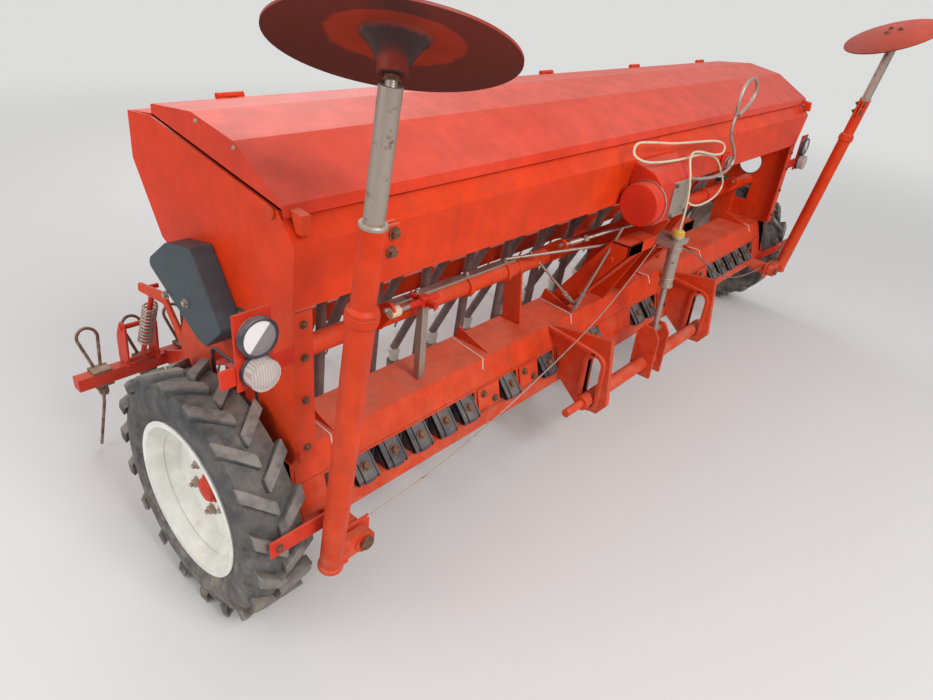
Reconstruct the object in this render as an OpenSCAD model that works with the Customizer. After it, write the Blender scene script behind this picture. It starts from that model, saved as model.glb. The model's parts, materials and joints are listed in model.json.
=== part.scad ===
// Mounted seed drill, three metres wide, with raised row markers and a following harrow.
// Lengths are in millimetres. X runs along the hopper, the hitch looks to -Y and Z is up.
// The origin lies on the ground, below the wheels' axle. Left and right are as seen from the hitch.

/* [Hopper] */
// Outer length of the hopper
hopper_len = 3000; // [2400:50:3400]
// Thickness of the hopper's sheets
sheet = 4; // [2:0.5:5]
// Height of the hopper's front lower edge
hopper_z = 918; // [850:1:1000]
// Gap between the lid's caps and the end plates
lid_gap = 8; // [5:1:12]

/* [Frame] */
// Wall of the main beam and the front bar
beam_wall = 6; // [4:1:8]
// Thickness of the side plates
plate_t = 6; // [5:1:10]
// Height of the main beam's top
beam_z = 505; // [480:1:530]

/* [Rows] */
// Number of rows
rows = 28; // [20:2:28]
// Distance between rows
row_pitch = 103; // [95:1:125]
// Reach of the front coulters behind the axle
reach_front = 90; // [60:5:140]
// Reach of the rear coulters behind the axle
reach_rear = 300; // [240:5:340]

/* [Wheels] */
// Radius over the lugs
wheel_r = 333; // [320:1:345]
// Tyre width
tyre_w = 150; // [130:1:160]
// Height of a lug
lug_h = 18; // [12:1:22]
// Number of lugs on each half of the tread
lug_n = 18; // [14:1:22]
// Radius of the rim's flange
rim_r = 212; // [190:1:225]

/* [Hitch] */
// Distance between the two slotted hitch plates
hitch_span = 800; // [700:10:860]
// Radius of the lower link pins
pin_r = 14; // [11:0.5:18.5]
// Free length of each lower link pin
pin_len = 90; // [70:5:120]
// Radius of the top link hole
top_link_r = 12.8; // [9.5:0.1:16]
// Travel of the cross tube in its slots
slot_travel = 140; // [80:5:160]

/* [Markers] */
// Height of the marker's hub
marker_top = 1405; // [1350:1:1450]
// Radius of the marker disc
disc_r = 280; // [240:5:290]
// Forward lean of the raised marker arm
marker_lean = 8; // [6:0.5:10]
// Reach of the arm outside its pivot
marker_offset = 100; // [90:1:110]

/* [Harrow] */
// Number of tines
tine_n = 24; // [16:2:24]
// Distance between tines
tine_pitch = 137; // [120:1:140]
// Distance of the harrow's bar behind the axle
harrow_y = 655; // [600:1:700]

/* [Output] */
// Piece to draw, or all of them

/* [Hidden] */
half = hopper_len/2;
arm_y = -375;
arm_z0 = 284;
lean_tan = tan(marker_lean);
z0 = hopper_z - 918;
wheel_x = half + 90;
hopper_path = [[-226, 1120 + z0], [-274, 1062 + z0], [-258, 918 + z0], [10, 824 + z0], [90, 824 + z0],
    [272, 914 + z0], [370, 1084 + z0], [362, 1194 + z0], [258, 1206 + z0]];
lid_path = [[-248, 1112 + z0], [-240, 1134 + z0], [-84, 1221 + z0], [70, 1247 + z0], [238, 1231.5 + z0]];
end_outline = [[-226, 1120 + z0], [-276, 1062 + z0], [-260, 917 + z0], [86, 821 + z0], [274, 912 + z0],
    [373, 1084 + z0], [364, 1196 + z0], [256, 1204 + z0]];
cap_outline = [[-240, 1128 + z0], [-240, 1134 + z0], [-84, 1221 + z0], [70, 1247 + z0], [244, 1231 + z0],
    [244, 1204 + lid_gap + z0]];
lid_axis = [250, 1236 + z0];
// Tilt of the disc on the raised arm, about X and Y
disc_tilt = [-15, -20];
disc_y = arm_y - lean_tan*(marker_top - arm_z0);
front_reach = -disc_y + 42*sin(disc_tilt[0]) + disc_r*cos(disc_tilt[0]);
lamp_y = -270;
hinge_x = [-1300, -650, 0, 650, 1300];
bar_z = 350;
// Windows of the front skirt, as [first x, last x] on the left half
windows = [[-1405, -832], [-714, -624], [-508, -418], [-330, -120]];
bar_y = -228;
tube_y = -400;
tube_z = 300;
tube_r = 25;
hitch_half = hitch_span/2;
pivot_z = 300;
pivot_x = half - 100;
rock_y = -80;
rock_z = 700;
rock_r = 28;
harrow_z = 350;
harrow_axis = [220, 540];
harrow_x = [-1370, -460, 460, 1370];

// Draws a Y-Z outline as a bar along X
module along_x(len, x = 0) {
    translate([x, 0, 0])
        rotate([90, 0, 90])
            linear_extrude(len, center = true)
                children();
}

// Flat strip from a to b
module strip(a, b, t) {
    translate(a)
        rotate(atan2(b[1] - a[1], b[0] - a[0]))
            translate([0, -t/2])
                square([norm(b - a), t]);
}

// Point i of a path, moved sideways by d and mitred
function mitre(path, i, d) =
    let (n = len(path) - 2,
        m = normal(path, max(i - 1, 0)) + normal(path, min(i, n)))
    path[i] + m*(2*d/(m*m));

// Sheet of thickness t folded along a path
module folded(path, t) {
    n = len(path) - 1;
    polygon(concat([for (i = [0:n]) mitre(path, i, t/2)], [for (i = [0:n]) mitre(path, n - i, -t/2)]));
}

// Round bar from p to q
module rod(p, q, r) {
    d = q - p;
    translate(p)
        rotate([0, acos(d[2]/norm(d)), atan2(d[1], d[0])])
            cylinder(h = norm(d), r = r, $fn = 32);
}

// Flat bar with an eye at either end, from p to q, at x
module link(p, q, w, t, x) {
    along_x(t, x) {
        strip(p, q, w);
        translate(p)
            circle(d = w + 6, $fn = 32);
        translate(q)
            circle(d = w + 6, $fn = 32);
    }
}

// Repeats its children on both ends of the machine
module both_ends() {
    children();
    mirror([1, 0, 0])
        children();
}

// Unit normal of part i of a path
function normal(path, i) =
    let (d = path[i + 1] - path[i])
    [-d[1], d[0]]/norm(d);
function row_x(i) = (i - (rows - 1)/2)*row_pitch;
function is_front(i) = i % 2 == 0;
function coulter_y(i) = is_front(i) ? reach_front : reach_rear;

module hopper_shell() {
    color("orangered")
        along_x(hopper_len - 2*plate_t)
            folded(hopper_path, sheet);
}

module hopper_ends() {
    color("orangered")
        both_ends()
            along_x(plate_t, half - plate_t/2)
                polygon(end_outline);
}

module metering_boxes() {
    color("gray")
        for (i = [0:rows - 1])
            along_x(60, row_x(i))
                polygon([[18, 824 - sheet/2 + z0], [18, 780 + z0], [38, 757 + z0], [72, 757 + z0], [84, 780 + z0],
                    [84, 824 - sheet/2 + z0]]);
}

module seed_tubes() {
    color("rosybrown")
        difference() {
            for (i = [0:rows - 1])
                rod([row_x(i), 55, 757 + z0], [row_x(i), coulter_y(i), 286], 15);
            translate([-half, -20, 757 + z0])
                cube([hopper_len, 400, 30]);
            translate([-half, -20, 253])
                cube([hopper_len, 400, 30]);
        }
}

module seed_funnels() {
    color("white")
        for (i = [0:rows - 1])
            translate([row_x(i), coulter_y(i), 233])
                cylinder(h = 50, r1 = 16, r2 = 24, $fn = 32);
}

module side_plates() {
    color("orangered")
        both_ends() {
            along_x(plate_t, half - plate_t/2)
                difference() {
                    polygon([[-260, 917 + z0], [-260, 560], [-235, beam_z], [-60, beam_z], [120, 540],
                        [250, 560], [250, 640], [180, 790 + z0], [86, 821 + z0]]);
                    translate([-70, 786])
                        circle(r = 60, $fn = 64);
                    translate([-105, 595])
                        square([190, 90]);
                }
            translate([half - 50, -260, 520])
                cube([45, 6, 390 + z0]);
        }
}

module lamp_plates() {
    color("red")
        both_ends() {
            translate([half + 55, lamp_y, 785])
                cube([85, 5, 170]);
            translate([half, lamp_y + 5, 800])
                cube([172, 8, 40]);
        }
}

module lamp_lenses() {
    color("lightgray")
        both_ends()
            translate([half + 97, lamp_y, 824])
                rotate([90, 0, 0])
                    cylinder(h = 34, r = 35, $fn = 48);
}

module reflectors() {
    color("gray")
        both_ends()
            translate([half + 94, lamp_y, 901])
                rotate([90, 0, 0])
                    cylinder(h = 16, r = 41, $fn = 48);
}

module gear_cover() {
    color("darkslategray")
        along_x(56, -half - 28)
            polygon([[233, 886 + z0], [145, 948 + z0], [33, 972 + z0], [-68, 810 + z0], [8, 737 + z0], [240, 862 + z0]]);
}

module main_beam() {
    color("orangered")
        along_x(hopper_len - 2*plate_t)
            difference() {
                polygon([[-45, beam_z], [-200, beam_z], [-228, 428], [-45, 428]]);
                polygon([[-45 - beam_wall, beam_z - beam_wall], [-196, beam_z - beam_wall], [-220, 428 + beam_wall],
                    [-45 - beam_wall, 428 + beam_wall]]);
            }
}

module front_bar() {
    color("orangered")
        difference() {
            union() {
                along_x(hopper_len - 2*plate_t)
                    strip([-226, 426], [-244, bar_z - 2], 6);
                along_x(hopper_len - 2*plate_t)
                    difference() {
                        polygon([[-262, bar_z - 50], [-212, bar_z - 50], [-212, bar_z], [-262, bar_z]]);
                        polygon([[-257, bar_z - 45], [-217, bar_z - 45], [-217, bar_z - 5], [-257, bar_z - 5]]);
                    }
            }
            both_ends()
                for (w = windows)
                    translate([w[0], -300, bar_z + 1])
                        cube([w[1] - w[0], 120, 69]);
        }
}

module hitch_plates() {
    color("orangered")
        both_ends()
            along_x(20, hitch_half)
                difference() {
                    polygon([[-200, beam_z], [-440, 540], [-470, 300], [-440, 255], [-360, 250], [-262, 330],
                        [-262, 352], [-240, 428], [-228, 428]]);
                    translate([tube_y - tube_r - 3, tube_z])
                        square([2*tube_r + 6, slot_travel]);
                    translate([tube_y, tube_z])
                        circle(r = tube_r + 3, $fn = 48);
                    translate([tube_y, tube_z + slot_travel])
                        circle(r = tube_r + 3, $fn = 48);
                }
}

module tower() {
    color("orangered")
        both_ends()
            along_x(12, 60)
                difference() {
                    polygon([[-50, beam_z], [-200, beam_z], [-380, 860], [-380, 910], [-330, 930], [-264, 905], [-120, 700]]);
                    translate([-345, 880])
                        circle(r = top_link_r, $fn = 48);
                }
}

module tower_housing() {
    color("red") {
        translate([-230, -310, 860])
            cube([164, 40, 120]);
        translate([-190, -310, 925])
            rotate([90, 0, 0])
                cylinder(h = 26, r = 48, $fn = 64);
    }
}

module lift_cylinder() {
    color("gray")
        difference() {
            union() {
                translate([0, tube_y, 610])
                    cylinder(h = 190, r = 22, $fn = 48);
                translate([-54, tube_y - 20, 770])
                    cube([108, 120, 20]);
            }
            translate([0, tube_y, 590])
                cylinder(h = 190, r = 11, $fn = 48);
        }
}

module rockshaft() {
    color("orangered")
        translate([0, rock_y, rock_z])
            rotate([0, 90, 0])
                difference() {
                    cylinder(h = hopper_len - 2*plate_t, r = rock_r, $fn = 48, center = true);
                    cylinder(h = hopper_len, r = rock_r - 5, $fn = 48, center = true);
                }
}

module coulter_blocks() {
    color("black")
        for (i = [0:rows - 1])
            along_x(86, row_x(i))
                polygon([[-212, 330], [-212, 404], [-165, 404], [-165, 330]]);
}

module coulter_arms() {
    color("dimgray")
        for (i = [0:rows - 1])
            link([-145, 372], [coulter_y(i) - 48, 200], 34, 12, row_x(i));
}

module coulters() {
    color("saddlebrown")
        for (i = [0:rows - 1])
            along_x(26, row_x(i))
                translate([coulter_y(i), 0])
                    polygon([[-28, 233], [24, 233], [26, 90], [10, 6], [-6, 0], [-60, 30], [-48, 70], [-28, 110]]);
}

module rear_bar() {
    color("orangered")
        along_x(hopper_len - 2*plate_t)
            difference() {
                translate([190, 570])
                    square(60);
                translate([196, 576])
                    square(48);
            }
}

module wheel_legs() {
    color("orangered")
        both_ends() {
            translate([half - plate_t - 50, -42, wheel_r - 45])
                cube([50, 84, 360]);
            translate([half - plate_t - 1, 0, wheel_r])
                rotate([0, 90, 0])
                    cylinder(h = 92, r = 22, $fn = 48);
        }
}

module harrow_pivots() {
    color("orangered")
        for (x = harrow_x)
            translate([x, 0, 0]) {
                for (s = [-1, 1])
                    along_x(6, s*14)
                        polygon([[195, 570], [245, 570], [236, harrow_axis[1] - 16], [204, harrow_axis[1] - 16]]);
                translate([0, harrow_axis[0], harrow_axis[1]])
                    rotate([0, 90, 0])
                        cylinder(h = 30, r = 10, $fn = 32, center = true);
            }
}

module control_posts() {
    color("gray")
        translate([-1000, -150, beam_z])
            cylinder(h = 300, r = 12, $fn = 32);
}

module crank_handle() {
    color("silver")
        rod([74, -300, 840], [74, -300, 1180], 8);
}

module marker_brackets() {
    color("orangered")
        both_ends()
            translate([pivot_x, -350, pivot_z])
                rotate([-90, 0, 0]) {
                    cylinder(h = 350 - 262, r = 30, $fn = 48);
                    translate([0, 0, -42])
                        cylinder(h = 43, r = 14, $fn = 48);
                }
}

module scraper_bars() {
    color("red")
        both_ends() {
            translate([half - 60, -349, 385])
                cube([200, 8, 40]);
            along_x(8, half - 56)
                polygon([[-262, 305], [-345, 385], [-345, 425], [-262, 345]]);
        }
}

// Top face of the fixed strip behind the lid
function strip_top(y) = 1208 + z0 - (y - 258.2)*12/104;

module lid_hinges() {
    color("orangered")
        for (x = hinge_x)
            along_x(30, x)
                difference() {
                    union() {
                        translate(lid_axis)
                            circle(r = 8, $fn = 32);
                        polygon([[248, 1236 + z0], [257, 1238 + z0], [276, strip_top(276)], [262, strip_top(262)]]);
                    }
                    translate(lid_axis)
                        circle(r = 4.05, $fn = 32);
                }
}

module lid() {
    color("tomato") {
        for (x = hinge_x) {
            for (s = [-1, 1])
                along_x(20, x + s*25.5) {
                    translate(lid_axis)
                        circle(r = 8, $fn = 32);
                    strip([232, 1231.8 + z0], [250, 1231.8 + z0], 3);
                }
            along_x(40, x)
                translate(lid_axis)
                    circle(r = 4, $fn = 32);
        }
        along_x(hopper_len)
            folded(lid_path, 3);
        both_ends()
            along_x(4, half - 2)
                polygon(cap_outline);
    }
}

module tyre() {
    rotate([0, 90, 0]) {
        rotate_extrude($fn = 96)
            polygon([[rim_r - 6, -61], [rim_r + 30, -tyre_w/2], [270, -tyre_w/2], [wheel_r - lug_h - 6, -tyre_w/2 + 12],
                [wheel_r - lug_h, -20], [wheel_r - lug_h, 20], [wheel_r - lug_h - 6, tyre_w/2 - 12], [270, tyre_w/2],
                [rim_r + 30, tyre_w/2], [rim_r - 6, 61]]);
        for (s = [-1, 1], k = [0:lug_n - 1])
            rotate(360*(k + (s > 0 ? 0.5 : 0))/lug_n)
                intersection() {
                    translate([wheel_r - lug_h - 12, 0, s*(tyre_w/4 - 2)])
                        rotate([s*42, 0, 0])
                            translate([0, -13, -60])
                                cube([40, 26, 120]);
                    translate([0, 0, s > 0 ? -4 : -tyre_w/2 + 2])
                        cylinder(h = tyre_w/2 + 2, r = wheel_r, $fn = 96);
                }
    }
}

module rim() {
    rotate([0, 90, 0])
        rotate_extrude($fn = 96)
            polygon([[22.05, -60], [44, -60], [44, -8], [150, -8], [172, 20], [rim_r - 12, 26], [rim_r - 12, -69],
                [rim_r + 2, -69], [rim_r + 2, -65], [rim_r - 6, -61], [rim_r - 6, 61], [rim_r + 2, 65],
                [rim_r + 2, 69], [rim_r - 14, 69], [176, 32], [148, 0], [22.05, 0]]);
}

module tyre_left() {
    color("dimgray")
        translate([-wheel_x, 0, wheel_r])
            tyre();
}

module tyre_right() {
    color("dimgray")
        translate([wheel_x, 0, wheel_r])
            tyre();
}

module rim_left() {
    color("white")
        translate([-wheel_x, 0, wheel_r])
            mirror([1, 0, 0])
                rim();
}

module rim_right() {
    color("white")
        translate([wheel_x, 0, wheel_r])
            rim();
}

module hub_cap_left() {
    color("red")
        mirror([1, 0, 0])
            hub_cap();
}

module hub_cap_right() {
    color("red")
        hub_cap();
}

module hub_cap() {
    translate([wheel_x, 0, wheel_r])
        rotate([0, 90, 0])
            cylinder(h = 34, r = 32, $fn = 48);
}

module marker_arm() {
    translate([half, arm_y, arm_z0])
        rotate([marker_lean, 0, 0]) {
            cylinder(h = 720, r = 28, $fn = 48);
            translate([0, 0, 719])
                cylinder(h = 180, r = 24, $fn = 48);
        }
    difference() {
        union() {
            translate([pivot_x, arm_y - 11, pivot_z])
                rotate([-90, 0, 0])
                    cylinder(h = 30, r = 30, $fn = 48);
            translate([pivot_x, arm_y - 8, pivot_z - 25])
                cube([90, 22, 60]);
        }
        translate([pivot_x, arm_y - 30, pivot_z])
            rotate([-90, 0, 0])
                cylinder(h = 60, r = 14.05, $fn = 48);
    }
}

module marker_tube() {
    translate([half, arm_y, arm_z0])
        rotate([marker_lean, 0, 0])
            translate([0, 0, 899])
                cylinder(h = (marker_top - arm_z0)/cos(marker_lean) - 903, r = 19, $fn = 48);
    translate([half, disc_y, marker_top])
        rotate([disc_tilt[0], disc_tilt[1], 0])
            translate([0, 0, -12])
                cylinder(h = 19, r = 10, $fn = 48);
}

module marker_disc() {
    translate([half, disc_y, marker_top])
        rotate([disc_tilt[0], disc_tilt[1], 0])
            translate([0, 0, 8])
                difference() {
                    union() {
                        cylinder(h = 34, r = 26, $fn = 48);
                        translate([0, 0, 34])
                            cylinder(h = 4, r = disc_r, $fn = 96);
                    }
                }
}

module marker_arm_left() {
    color("orangered")
        mirror([1, 0, 0])
            marker_arm();
}

module marker_arm_right() {
    color("orangered")
        marker_arm();
}

module marker_tube_left() {
    color("gray")
        mirror([1, 0, 0])
            marker_tube();
}

module marker_tube_right() {
    color("gray")
        marker_tube();
}

module marker_disc_left() {
    color("brown")
        mirror([1, 0, 0])
            marker_disc();
}

module marker_disc_right() {
    color("brown")
        marker_disc();
}

module hitch_bar() {
    color("orangered")
        translate([0, tube_y, tube_z])
            rotate([0, 90, 0]) {
                cylinder(h = hitch_span + 120, r = tube_r, $fn = 48, center = true);
                both_pins();
            }
}

module both_pins() {
    for (s = [0, 1])
        mirror([0, 0, s])
            translate([0, 0, hitch_half + 59])
                cylinder(h = pin_len + 1, r = pin_r, $fn = 48);
}

module hitch_channel() {
    color("orangered")
        for (s = [-1, 1])
            along_x(10, s*40)
                difference() {
                    polygon([[tube_y - 45, 250], [tube_y + 45, 250], [tube_y + 45, 420], [tube_y + 20, 455],
                        [tube_y - 20, 455], [tube_y - 45, 420]]);
                    translate([tube_y, tube_z])
                        circle(r = tube_r, $fn = 48);
                }
}

module lift_rod() {
    color("silver") {
        translate([0, tube_y, 430])
            cylinder(h = 205, r = 10.5, $fn = 48);
        translate([0, tube_y, 430])
            rotate([0, 90, 0])
                cylinder(h = 70, r = 12, $fn = 48, center = true);
    }
}

module harrow_frame() {
    color("red") {
        along_x(3300)
            translate([harrow_y - 20, harrow_z - 20])
                square(40);
        for (x = harrow_x)
            difference() {
                link(harrow_axis, [harrow_y - 25, harrow_z + 5], 44, 12, x);
                translate([x, harrow_axis[0], harrow_axis[1]])
                    rotate([0, 90, 0])
                        cylinder(h = 40, r = 10.05, $fn = 48, center = true);
            }
    }
}

module harrow_tines() {
    color("dimgray")
        for (i = [0:tine_n - 1]) {
            x = (i - (tine_n - 1)/2)*tine_pitch;
            translate([x - 14, harrow_y + 20, harrow_z - 15])
                cube([28, 26, 30]);
            rod([x, harrow_y + 30, harrow_z + 64], [x, front_reach - 4.8, 10], 5);
            translate([x, harrow_y + 30, harrow_z + 100])
                rotate([0, 90, 0])
                    rotate_extrude($fn = 48)
                        translate([36, 0])
                            circle(r = 5, $fn = 24);
        }
}

hopper_shell();
hopper_ends();
metering_boxes();
seed_tubes();
seed_funnels();
side_plates();
lamp_plates();
lamp_lenses();
reflectors();
gear_cover();
main_beam();
front_bar();
hitch_plates();
tower();
tower_housing();
lift_cylinder();
rockshaft();
coulter_blocks();
coulter_arms();
coulters();
rear_bar();
harrow_pivots();
wheel_legs();
control_posts();
crank_handle();
marker_brackets();
scraper_bars();
lid_hinges();
lid();
tyre_left();
rim_left();
hub_cap_left();
tyre_right();
rim_right();
hub_cap_right();
marker_arm_left();
marker_tube_left();
marker_disc_left();
marker_arm_right();
marker_tube_right();
marker_disc_right();
hitch_bar();
hitch_channel();
lift_rod();
harrow_frame();
harrow_tines();
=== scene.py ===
"""Looks of a mounted seed drill, and the small parts that its solids leave out."""
import json
import math
import bmesh
import bpy
from mathutils import Matrix, Vector


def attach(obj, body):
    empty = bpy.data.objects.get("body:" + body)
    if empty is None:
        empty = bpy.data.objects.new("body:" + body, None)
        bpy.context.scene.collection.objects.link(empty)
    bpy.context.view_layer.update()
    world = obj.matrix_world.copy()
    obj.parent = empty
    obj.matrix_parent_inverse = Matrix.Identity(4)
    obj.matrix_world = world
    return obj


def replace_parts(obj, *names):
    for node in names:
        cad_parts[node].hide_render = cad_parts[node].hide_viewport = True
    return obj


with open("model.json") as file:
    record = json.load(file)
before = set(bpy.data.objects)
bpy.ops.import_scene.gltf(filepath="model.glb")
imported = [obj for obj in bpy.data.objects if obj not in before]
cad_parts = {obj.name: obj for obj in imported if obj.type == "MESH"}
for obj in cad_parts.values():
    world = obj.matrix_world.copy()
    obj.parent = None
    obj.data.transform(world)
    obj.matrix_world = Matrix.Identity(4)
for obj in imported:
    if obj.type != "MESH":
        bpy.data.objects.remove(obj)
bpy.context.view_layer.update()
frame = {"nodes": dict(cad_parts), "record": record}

X_AXIS, Y_AXIS, Z_AXIS = Vector((1, 0, 0)), Vector((0, 1, 0)), Vector((0, 0, 1))

# What the small parts share with the solids, in metres; the marker's places are of the right side
WHEEL_R = 0.333
WHEEL_X = 1.59
ROWS = 28
ROW_PITCH = 0.103
ARM_FOOT = Vector((1.5, -0.375, 0.284))
ARM_TURN = Matrix.Rotation(math.radians(8), 4, "X")
MARKER_HUB = Vector((1.5, -0.53253, 1.405))
DISC_TURN = Matrix.Rotation(math.radians(-20), 4, "Y") @ Matrix.Rotation(math.radians(-15), 4, "X")
HARROW_BAR = Vector((0.0, 0.655, 0.35))

# Places that more than one small part is set by, in millimetres
BEAM_TOP = 505
PIVOT_Z = 300
HITCH_Y = -400
WINDOWS = ((832, 1405), (624, 714), (418, 508), (120, 330))

SIDES = ((-1, "left"), (1, "right"))
SHARP_EDGE = math.radians(38)
BACKDROP = (0.72, 0.72, 0.71, 1.0)


def row_x(i):
    return (i - (ROWS - 1) / 2) * ROW_PITCH


def show(name, data):
    """Puts data into the scene as an object."""
    thing = bpy.data.objects.new(name, data)
    bpy.context.scene.collection.objects.link(thing)
    return thing


# Camera

PHOTO_WIDTH, FOCAL_PIXELS, SENSOR_WIDTH = 933, 682.713, 36


def place_camera():
    """The photograph's camera."""
    data = bpy.data.cameras.new("photo_camera")
    data.sensor_width = SENSOR_WIDTH
    data.lens = FOCAL_PIXELS * SENSOR_WIDTH / PHOTO_WIDTH
    data.clip_start = 0.05
    data.clip_end = 100
    camera = show("photo_camera", data)
    right = Vector((0.66629694, -0.74032971, 0.08922058))
    up = Vector((0.31685178, 0.38939458, 0.86485652))
    back = Vector((-0.67502099, -0.54798155, 0.49402721))
    turn = Matrix((right, up, back)).transposed()
    camera.matrix_world = Matrix.Translation((-2.22594, -1.31443, 1.56902)) @ turn.to_4x4()
    bpy.context.scene.camera = camera


place_camera()


# Node helpers


def feed(tree, socket, value):
    """Sets a socket to a number or colour, or links it to another node's socket."""
    if isinstance(value, bpy.types.NodeSocket):
        tree.links.new(value, socket)
    else:
        socket.default_value = value


def start_group(name, inputs):
    """A shader group with its named inputs. Returns the group and the sockets of what it is given."""
    group = bpy.data.node_groups.new(name, "ShaderNodeTree")
    for label, value in inputs.items():
        length = len(value) if isinstance(value, tuple) else 1
        kind = {1: "NodeSocketFloat", 3: "NodeSocketVector", 4: "NodeSocketColor"}[length]
        group.interface.new_socket(label, in_out="INPUT", socket_type=kind).default_value = value
    return group, group.nodes.new("NodeGroupInput").outputs


def finish_group(group, **results):
    """Gives a shader group its named outputs. Returns the group."""
    for label in results:
        kind = "NodeSocketColor" if label == "Color" else "NodeSocketFloat"
        group.interface.new_socket(label, in_out="OUTPUT", socket_type=kind)
    output = group.nodes.new("NodeGroupOutput")
    for label, value in results.items():
        feed(group, output.inputs[label], value)
    return group


def new_node(tree, kind):
    return tree.nodes.new(f"ShaderNode{kind}")


def math_node(tree, operation, a, b=0.0, clamp=False):
    node = new_node(tree, "Math")
    node.operation = operation
    node.use_clamp = clamp
    feed(tree, node.inputs[0], a)
    feed(tree, node.inputs[1], b)
    return node.outputs[0]


def times(tree, a, b, clamp=False):
    return math_node(tree, "MULTIPLY", a, b, clamp)


def plus(tree, a, b, clamp=False):
    return math_node(tree, "ADD", a, b, clamp)


def vector_node(tree, operation, a, b=(0.0, 0.0, 0.0)):
    node = new_node(tree, "VectorMath")
    node.operation = operation
    feed(tree, node.inputs[0], a)
    feed(tree, node.inputs[1], b)
    return node.outputs["Value"] if operation in ("DOT_PRODUCT", "LENGTH") else node.outputs[0]


def spread(tree, value, low, high, to_low=0.0, to_high=1.0):
    """Stretches low..high to a range and cuts off what lies outside."""
    node = new_node(tree, "MapRange")
    node.interpolation_type = "SMOOTHSTEP"
    for socket, number in zip(node.inputs, (value, low, high, to_low, to_high)):
        feed(tree, socket, number)
    return node.outputs[0]


def blend_colours(tree, factor, a, b):
    """Mixes two colours, which the Mix node takes in its sockets 6 and 7."""
    node = new_node(tree, "Mix")
    node.data_type = "RGBA"
    feed(tree, node.inputs["Factor"], factor)
    feed(tree, node.inputs[6], a)
    feed(tree, node.inputs[7], b)
    return node.outputs[2]


def noise(tree, vector, scale, detail=5.0, roughness=0.55):
    node = new_node(tree, "TexNoise")
    feed(tree, node.inputs["Vector"], vector)
    feed(tree, node.inputs["Scale"], scale)
    node.inputs["Detail"].default_value = detail
    node.inputs["Roughness"].default_value = roughness
    return node.outputs[0]


def stretched(tree, vector, scale):
    node = new_node(tree, "Mapping")
    feed(tree, node.inputs["Vector"], vector)
    node.inputs["Scale"].default_value = scale
    return node.outputs[0]


def split(tree, vector):
    node = new_node(tree, "SeparateXYZ")
    feed(tree, node.inputs[0], vector)
    return node.outputs


def machine_place(tree):
    """Where on the machine a point lies, in metres."""
    return new_node(tree, "TexCoord").outputs["Object"]


def use_group(tree, group):
    node = new_node(tree, "Group")
    node.node_tree = group
    return node


def mix_shaders(tree, factor, first, second, output):
    node = new_node(tree, "MixShader")
    feed(tree, node.inputs[0], factor)
    tree.links.new(first.outputs[0], node.inputs[1])
    tree.links.new(second.outputs[0], node.inputs[2])
    tree.links.new(node.outputs[0], tree.nodes[output].inputs["Surface"])


# Shared finishes


def make_worn_edge():
    """Mask of the edges that rub off first, broken up so that it doesn't run on evenly."""
    group, given = start_group("worn_edge", {"Width": 0.004, "Amount": 0.5, "Grain": 60.0})
    spot = machine_place(group)
    bevel = new_node(group, "Bevel")
    bevel.samples = 4
    feed(group, bevel.inputs["Radius"], given["Width"])
    face = new_node(group, "NewGeometry").outputs["Normal"]
    bend = math_node(group, "SUBTRACT", 1.0, vector_node(group, "DOT_PRODUCT", bevel.outputs[0], face))
    edge = spread(group, bend, 0.015, 0.2)
    broken = spread(group, noise(group, spot, given["Grain"], 6.0, 0.7), 0.42, 0.62)
    return finish_group(group, Mask=times(group, times(group, edge, broken), given["Amount"], True))


def make_dust():
    """Mask of dust that lies on faces that look up and gathers towards the ground."""
    group, given = start_group("settled_dust", {"On top": 0.5, "Low down": 0.5, "Height": 0.6})
    coords = new_node(group, "TexCoord")
    spot = coords.outputs["Object"]
    up = spread(group, split(group, coords.outputs["Normal"])["Z"], 0.25, 0.95)
    patch = spread(group, noise(group, spot, 7.0, 8.0, 0.65), 0.3, 0.72)
    top = times(group, times(group, up, patch), given["On top"])
    low = spread(group, split(group, spot)["Z"], given["Height"], 0.0)
    spots = spread(group, noise(group, spot, 24.0, 8.0, 0.7), 0.36, 0.7)
    mud = times(group, times(group, low, spots), given["Low down"])
    return finish_group(group, Mask=plus(group, top, mud, True))


def lay_dust(group, colour, low_down, on_top, shade):
    """Lays dust over a colour. Returns the dusty colour and the dust's mask."""
    dust = use_group(group, DUST)
    feed(group, dust.inputs["On top"], on_top)
    feed(group, dust.inputs["Low down"], low_down)
    return blend_colours(group, dust.outputs["Mask"], colour, shade), dust.outputs["Mask"]


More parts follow.
